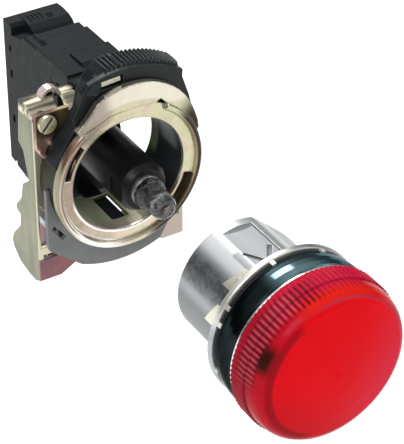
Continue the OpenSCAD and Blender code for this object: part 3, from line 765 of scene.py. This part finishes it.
# %% Die-cast zinc: painted reflections on pads, lugs and flange, painted shade in the arrow
PADS = ((-42.5, 139.0, 0.071, 113.0, 138.5), (-41.7, 175.0, 0.105, 155.0, 176.0))
for pad_y, pad_angle, slope, first, last in PADS:
    past_edge = sums(t, "ADD", sums(t, "MULTIPLY_ADD", angle, -slope, slope * pad_angle - pad_y), y)
    # painted reflection: cream on the pads
    tone = coat(t, tone, (
        ("pad", both(t, behind, below(t, past_edge, -0.05, 0.05),
                     band(t, angle, first, last, 0.6)), (0.86, 0.83, 0.68), 0.9),))
arrow = both(t, band(t, z, 9.5, 10.10, 0.06), band(t, x, -4.6, 3.0, 0.3),
             band(t, y, flange_rear + 1.2, flange_rear + 7.0, 0.3))
tone = coat(t, tone, (
    # painted reflections: cream on the lugs and the flange; painted shade in the arrow
    ("painted reflection on the raised lugs", both(t, above(t, radius, 10.98, 11.04), behind,
                         band(t, angle, 118.0, 176.0, 3.0)), (0.90, 0.88, 0.76), 0.9),
    ("arrow", arrow, (0.15, 0.16, 0.165), 0.6),
    ("flange", both(t, other(t, behind), band(t, angle, 92.0, 156.0, 10.0)),
     (0.96, 0.95, 0.88), 0.95)))
surface(t, edges, shader, tone, (0.88, 0.88, 0.87), fine, least=0.26, more=0.2, strength=0.18)
wear_to(cast, "head_barrel")

# %% [markdown]
# The seal is black rubber, the claws round it are bright, and the bezel carries a dark glossy
# plating with a painted teal highlight at the top. A bright ring sits under the lens, and the cup
# inside is white.

# %% Seal, claws, bezel, bright ring and reflector
wear_to(moulded("seal_rubber", (0.010, 0.010, 0.011), (0.038, 0.038, 0.0398), 0.62, 900.0, 0.25),
        "seal_gasket")
wear_to(sheet_metal("bright_claws", (0.75, 0.75, 0.70), (0.88, 0.88, 0.84), 0.6, 0.3, 600.0),
        "gasket_claws")
plated, t, spot, edges, shader = finish("dark_plating", 0.2, 0.7, Metallic=0.9, IOR=1.8,
                                        Specular_Tint=(0.30, 0.35, 0.36, 1.0))
_, angle = turned(t, spot)
haze = place(t, grain, Vector=spot, Scale=260.0, Contrast=1.8).outputs["Mask"]
dark = coat(t, mix_colour(t, haze, (0.007, 0.011, 0.012), (0.019, 0.028, 0.031)), (
    # painted highlight: a teal sheen at the top of the bezel
    ("teal", band(t, angle, 62.0, 104.0, 16.0), (0.17, 0.28, 0.31), 0.85),))
surface(t, edges, shader, dark, (0.30, 0.34, 0.34), haze, least=0.08, more=0.08, strength=0.05)
wear_to(plated, "bezel")
wear_to(sheet_metal("bright_ring", (0.80, 0.80, 0.80), (0.90, 0.90, 0.90), 0.95, 0.18, 300.0),
        "trim_ring")
wear_to(moulded("white_cup", (0.72, 0.72, 0.70), (0.812, 0.812, 0.79), 0.5, 900.0, 0.1),
        "reflector")

# %% [markdown]
# ## The red lens
# The lens is moulded in clear red plastic. Its face is deep and even, with a painted pink
# reflection at the right and painted shade below. The wall is painted brighter at the top and
# darker at the left, and it shows darker and more crimson where the light has further to go:
# round the rim, between the fine ribs, and where the cup inside ends. Real clear plastic needs
# many light paths to look right, so the depth is laid into the colour by distance from the axis,
# and the gloss stays on the surface.

# %% Red lens: face and shoulder
LENS_LOW, LENS_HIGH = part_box("lens")
red, t, spot, edges, shader = finish("red_lens", 0.6, 0.0, IOR=1.49, Roughness=0.18,
                                     Metallic=0.0, Specular_IOR_Level=0.04)
radius, angle = turned(t, spot)
x, y, z = along(t, spot)
back = sums(t, "SUBTRACT", y, LENS_LOW[1] / MM)    # mm behind the front of the lens
glow = place(t, grain, Vector=spot, Scale=90.0, Contrast=1.2).outputs["Mask"]
to_right = sums(t, "MULTIPLY_ADD", z, -0.5, x)
downward = sums(t, "ADD", sums(t, "MULTIPLY", x, -0.6), sums(t, "MULTIPLY", z, -0.8))
face = coat(t, mix_colour(t, glow, (0.76, 0.002, 0.007), (0.88, 0.003, 0.010)), (
    # painted reflection at the right and painted shade below
    ("painted pink reflection at the right", above(t, to_right, 0.0, 16.0), (0.78, 0.022, 0.055), 0.9),
    ("painted shade below", above(t, downward, 2.0, 14.0), (0.60, 0.005, 0.012), 0.8)))
# painted light: the wall is brighter at the top
wall = mix_colour(t, band(t, angle, 45.0, 105.0, 22.0), (0.56, 0.006, 0.022),
                  (0.74, 0.016, 0.012))
# painted shade: the left side of the wall is darker
wall = coat(t, wall, (
    ("painted shade on the left of the wall", band(t, angle, 140.0, 175.0, 14.0), (0.50, 0.008, 0.018), 0.8),))
print("lens from", round(LENS_LOW[1] / MM, 1), "to", round(LENS_HIGH[1] / MM, 1), "mm along y")

# %% [markdown]
# The ribs run round the rim at an even pitch. The angle is multiplied by the number of ribs, and
# the cosine of that is high on each rib and low in each gap. It says where the painted shade in
# the gaps and the painted glints go.

# %% Red lens: shoulder and rim, with painted shade and glints
RIBS = 96
# painted light: the crimson rim is brighter at the top
crimson = mix_colour(t, band(t, angle, 50.0, 110.0, 30.0), (0.40, 0.006, 0.022),
                     (0.62, 0.010, 0.045))
around = sums(t, "COSINE", sums(t, "MULTIPLY", angle, math.radians(RIBS)))
tooth = sums(t, "MULTIPLY_ADD", around, -0.5, 0.5)
ribbed_sides = either(t, band(t, angle, 105.0, 168.0, 16.0),
                      sums(t, "MULTIPLY", band(t, angle, 35.0, 105.0, 20.0), 0.45))
red_all = coat(t, mix_colour(t, above(t, radius, 12.4, 13.0), face, wall), (
    ("crease", both(t, band(t, radius, 12.95, 13.10, 0.16), band(t, angle, 28.0, 98.0, 12.0)),
     (0.50, 0.030, 0.075), 0.85),
    ("shade inside the shoulder", both(t, band(t, radius, 11.9, 12.5, 0.6),
                                       across_left(t, angle, 128.0, -120.0, 12.0, 15.0)),
     (0.26, 0.004, 0.012), 0.75),
    # painted shade: a dark spot in the hollow
    ("painted shade in the hollow", both(t, band(t, angle, 149.0, 157.0, 11.0), band(t, back, 1.9, 3.0, 1.4)),
     (0.045, 0.008, 0.006), 1.0),
    ("crimson rim", above(t, back, 3.1, 4.4), crimson, 1.0),
    # painted shade in the gaps between the ribs, strongest at the left, and painted glints on the ribs
    ("gaps", both(t, sums(t, "POWER", tooth, 1.6), band(t, back, 3.0, 6.8, 0.8), ribbed_sides),
     (0.10, 0.005, 0.012), 0.75),
    ("glints", both(t, sums(t, "POWER", other(t, tooth), 3.0), band(t, back, 3.6, 6.2, 0.8),
                    band(t, angle, 118.0, 170.0, 10.0)), (0.55, 0.16, 0.20), 0.5)))
join(t, red_all, shader.inputs["Base Color"])
bump(t, edges, glow, shader, 0.03)
wear_to(red, "lens")

# %% [markdown]
# ## Floor, backdrop and light
# The floor is plain and pale. It lies a little below the parts and keeps their soft shadow, and
# a little light of its own, seen only directly or in a reflection, lifts it to white.

# %% Floor
FLOOR_SIZE, FLOOR_DROP, FLOOR_GLOW = 6000 * MM, 30 * MM, 0.34
bpy.ops.mesh.primitive_plane_add(size=FLOOR_SIZE, location=(0, 0, CAD_BOX[0][2] - FLOOR_DROP))
floor = bpy.context.object
floor.name = "studio_floor"
paper = bpy.data.materials.new("pale_paper")
paper.use_nodes = True
t = paper.node_tree
shader = fill(t, t.nodes["Principled BSDF"], {
    "Roughness": 0.9, "Specular IOR Level": 0.0, "Emission Color": (1.0, 1.0, 1.0, 1.0)})
fibre = place(t, grain, Vector=add(t, "TexCoord").outputs["Object"], Scale=60.0, Contrast=0.3)
join(t, mix_colour(t, fibre.outputs["Mask"], (0.90, 0.90, 0.90), (0.94, 0.94, 0.94)),
     shader.inputs["Base Color"])
rays = add(t, "LightPath").outputs
seen = sums(t, "MAXIMUM", rays["Is Camera Ray"],
            sums(t, "MAXIMUM", rays["Is Transmission Ray"], rays["Is Glossy Ray"]))
join(t, sums(t, "MULTIPLY", seen, FLOOR_GLOW), shader.inputs["Emission Strength"])
floor.data.materials.append(paper)
print("floor at", round(floor.location.z / MM, 1), "mm")

# %% [markdown]
# The studio round the parts is bright overhead and dark near the horizon: metal looks like
# metal only when it has something light and something dark to mirror.

# %% Studio round the parts
SKY = [(0.50, 0.05), (0.64, 0.08), (0.74, 0.42), (0.86, 0.70), (1.0, 0.72)]    # height, grey
world = bpy.data.worlds.new("studio")
bpy.context.scene.world = world
world.use_nodes = True
t = world.node_tree
up = add(t, "SeparateXYZ", Vector=add(t, "TexCoord").outputs["Generated"]).outputs["Z"]
sky = ramp(t, sums(t, "MULTIPLY_ADD", up, 0.5, 0.5), [(at, (grey,) * 3) for at, grey in SKY])
join(t, sky, t.nodes["Background"].inputs["Color"])
print("studio:", len(SKY), "greys from the floor up")

# %% [markdown]
# Three soft square lamps do the rest: a key from the upper left, a fill from the right, and a
# rim lamp from behind. All aim at the middle of the parts.

# %% Lamps
AIM = Vector((8, -10, -10))


def lamp(name, spot_mm, size_mm, watts):
    """A square soft lamp aimed at the parts."""
    bpy.ops.object.light_add(type="AREA", location=Vector(spot_mm) * MM)
    made = bpy.context.object
    made.name = name
    made.data.shape = "SQUARE"
    made.data.size = size_mm * MM
    made.data.energy = watts
    made.rotation_euler = (Vector(spot_mm) - AIM).to_track_quat("Z", "Y").to_euler()


lamp("key", (-420, -420, 620), 340, 3.0)
lamp("fill", (620, -520, 300), 300, 0.9)
lamp("rim", (120, 560, 560), 300, 1.9)
print("three lamps")

# %% [markdown]
# ## Camera
# The camera looks down over the left shoulder of the part with a long lens, near enough for a
# little perspective.

# %% Camera
AZIMUTH, ELEVATION, ROLL = math.radians(-31.98), math.radians(35.36), math.radians(0.36)
TARGET, DISTANCE = Vector((14.63, 0.0, -15.22)), 354.78
FOCAL_LENGTH, SENSOR_WIDTH = 157.08, 36.0
back_way = Vector((math.sin(AZIMUTH) * math.cos(ELEVATION),
                   -math.cos(AZIMUTH) * math.cos(ELEVATION), math.sin(ELEVATION)))
bpy.ops.object.camera_add(location=(TARGET + back_way * DISTANCE) * MM)
camera = bpy.context.object
camera.name = "studio_camera"
camera.rotation_euler = (back_way.to_track_quat("Z", "Y").to_matrix().to_4x4()
                         @ Matrix.Rotation(ROLL, 4, "Z")).to_euler()
camera.data.lens = FOCAL_LENGTH
camera.data.sensor_width = SENSOR_WIDTH
bpy.context.scene.camera = camera
bpy.context.scene.view_settings.view_transform = "Standard"
print("camera at", [round(v / MM) for v in camera.location], "mm")
